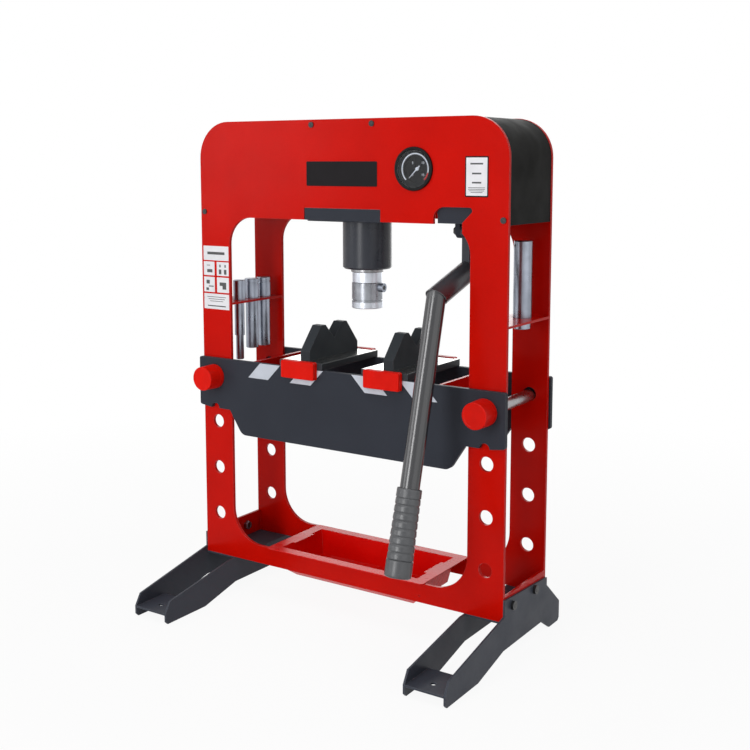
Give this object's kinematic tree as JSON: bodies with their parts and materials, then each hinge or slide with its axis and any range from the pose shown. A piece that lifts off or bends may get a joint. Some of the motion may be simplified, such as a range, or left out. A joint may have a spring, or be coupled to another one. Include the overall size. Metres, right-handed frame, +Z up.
{
  "type": "hydraulic press",
  "caption": "Bench hydraulic workshop press with a twin-plate frame on folded feet, hand pump and lever, gauge, pinned bed, sliding V-blocks and punches in side racks.",
  "frame": {"origin": "on the floor, at mid width and mid length of the feet", "axes": "+X to the right and +Y to the back, seen from the front; +Z up"},
  "size_m": [0.66, 0.41, 0.893],
  "materials": {
    "frame_red": "glossy powder coat",
    "anthracite": "satin powder coat",
    "cover_black": "satin fine-textured paint",
    "black_screws": "black oxide",
    "zinc_steel": "bright zinc plate",
    "bare_steel": "turned, lightly oiled",
    "chrome": "hard chrome, ground",
    "spring_steel": "drawn wire, oiled",
    "pipe_steel": "drawn tube, zinc plate",
    "seal_rubber": "moulded",
    "grip_rubber": "moulded, matt",
    "gauge_black": "gloss",
    "gauge_glass": "clear",
    "dial_face": "printed dial",
    "needle_white": "white paint",
    "knob_red": "moulded, glossy",
    "v_base_grey": "satin powder coat, worn bright on top"
  },
  "bodies": {
    "frame": {"front_frame_plate": "frame_red", "rear_frame_plate": "frame_red", "right_side_web": "frame_red", "left_side_web": "frame_red", "right_foot": "anthracite", "left_foot": "anthracite", "foot_bolts": "black_screws", "foot_nuts": "zinc_steel", "top_cover": "cover_black", "cover_bolts": "black_screws", "cylinder_block": "anthracite", "cylinder_barrel": "anthracite", "cylinder_cap": "bare_steel", "cylinder_nut": "bare_steel", "cylinder_gland": "bare_steel", "return_spring": "spring_steel", "pump_body": "anthracite", "pivot_bolt": "black_screws", "oil_pipe": "pipe_steel", "gauge_pipe": "pipe_steel", "gauge_case": "gauge_black", "gauge_bezel": "gauge_black", "gauge_glass": "gauge_glass", "gauge_dial": "dial_face", "bed_front_plate": "anthracite", "bed_rear_plate": "anthracite", "bed_right_web": "frame_red", "bed_left_web": "frame_red", "left_punch_rack": "frame_red", "right_punch_rack": "frame_red", "slim_punch": "zinc_steel", "middle_punch": "zinc_steel", "rear_punch": "zinc_steel", "large_punch": "zinc_steel", "drip_tray": "frame_red"},
    "press_ram": {"ram": "chrome", "piston_seal": "seal_rubber", "tool_sleeve": "zinc_steel", "clamp_screw": "zinc_steel"},
    "lever": {"lever_link": "anthracite", "lever_tube": "anthracite", "lever_grip": "grip_rubber"},
    "plunger": {"pump_plunger": "chrome", "plunger_pin": "bare_steel"},
    "valve": {"release_valve": "bare_steel"},
    "needle": {"gauge_needle": "needle_white"},
    "left_bed_pin": {"left_pin": "bare_steel", "left_pin_knob": "knob_red"},
    "right_bed_pin": {"right_pin": "bare_steel", "right_pin_knob": "knob_red"},
    "left_v_block": {"left_v_base": "v_base_grey", "left_v_plate": "anthracite", "left_front_grip": "knob_red", "left_rear_grip": "knob_red"},
    "right_v_block": {"right_v_base": "v_base_grey", "right_v_plate": "anthracite", "right_front_grip": "knob_red", "right_rear_grip": "knob_red"}
  },
  "joints": [
    {"name": "ram_slide", "type": "slide", "parent": "frame", "child": "press_ram", "axis": [0, 0, -1], "range_m": [0, 0.14], "stiffness_N_per_m": 600, "springref_m": -0.2, "deforming": ["return_spring"]},
    {"name": "lever_pivot", "type": "hinge", "parent": "frame", "child": "lever", "pos_m": [0.22, 0.039, 0.706], "axis": [-1, 0, 0], "range_deg": [0, 60]},
    {"name": "plunger_slide", "type": "slide", "parent": "frame", "child": "plunger", "axis": [0, 0, -1], "range_m": [0, 0.0232]},
    {"name": "release_valve_turn", "type": "hinge", "parent": "frame", "child": "valve", "pos_m": [0.22, 0.099, 0.73], "axis": [0, 0, -1], "range_deg": [0, 270]},
    {"name": "gauge_needle_turn", "type": "hinge", "parent": "frame", "child": "needle", "pos_m": [0.1465, -0.001, 0.8085], "axis": [0, 1, 0], "range_deg": [0, 270], "stiffness_Nm_per_rad": 0.0005, "springref_deg": -34.38},
    {"name": "left_pin_slide", "type": "slide", "parent": "frame", "child": "left_bed_pin", "axis": [0, -1, 0], "range_m": [0, 0.18]},
    {"name": "right_pin_slide", "type": "slide", "parent": "frame", "child": "right_bed_pin", "axis": [0, -1, 0], "range_m": [0, 0.18]},
    {"name": "left_v_block_slide", "type": "slide", "parent": "frame", "child": "left_v_block", "axis": [1, 0, 0], "range_m": [-0.11, 0.005]},
    {"name": "right_v_block_slide", "type": "slide", "parent": "frame", "child": "right_v_block", "axis": [1, 0, 0], "range_m": [-0.008, 0.1]}
  ],
  "couplings": [
    {"joint": "plunger_slide", "follows": "lever_pivot", "m_per_rad": 0.02205}
  ]
}
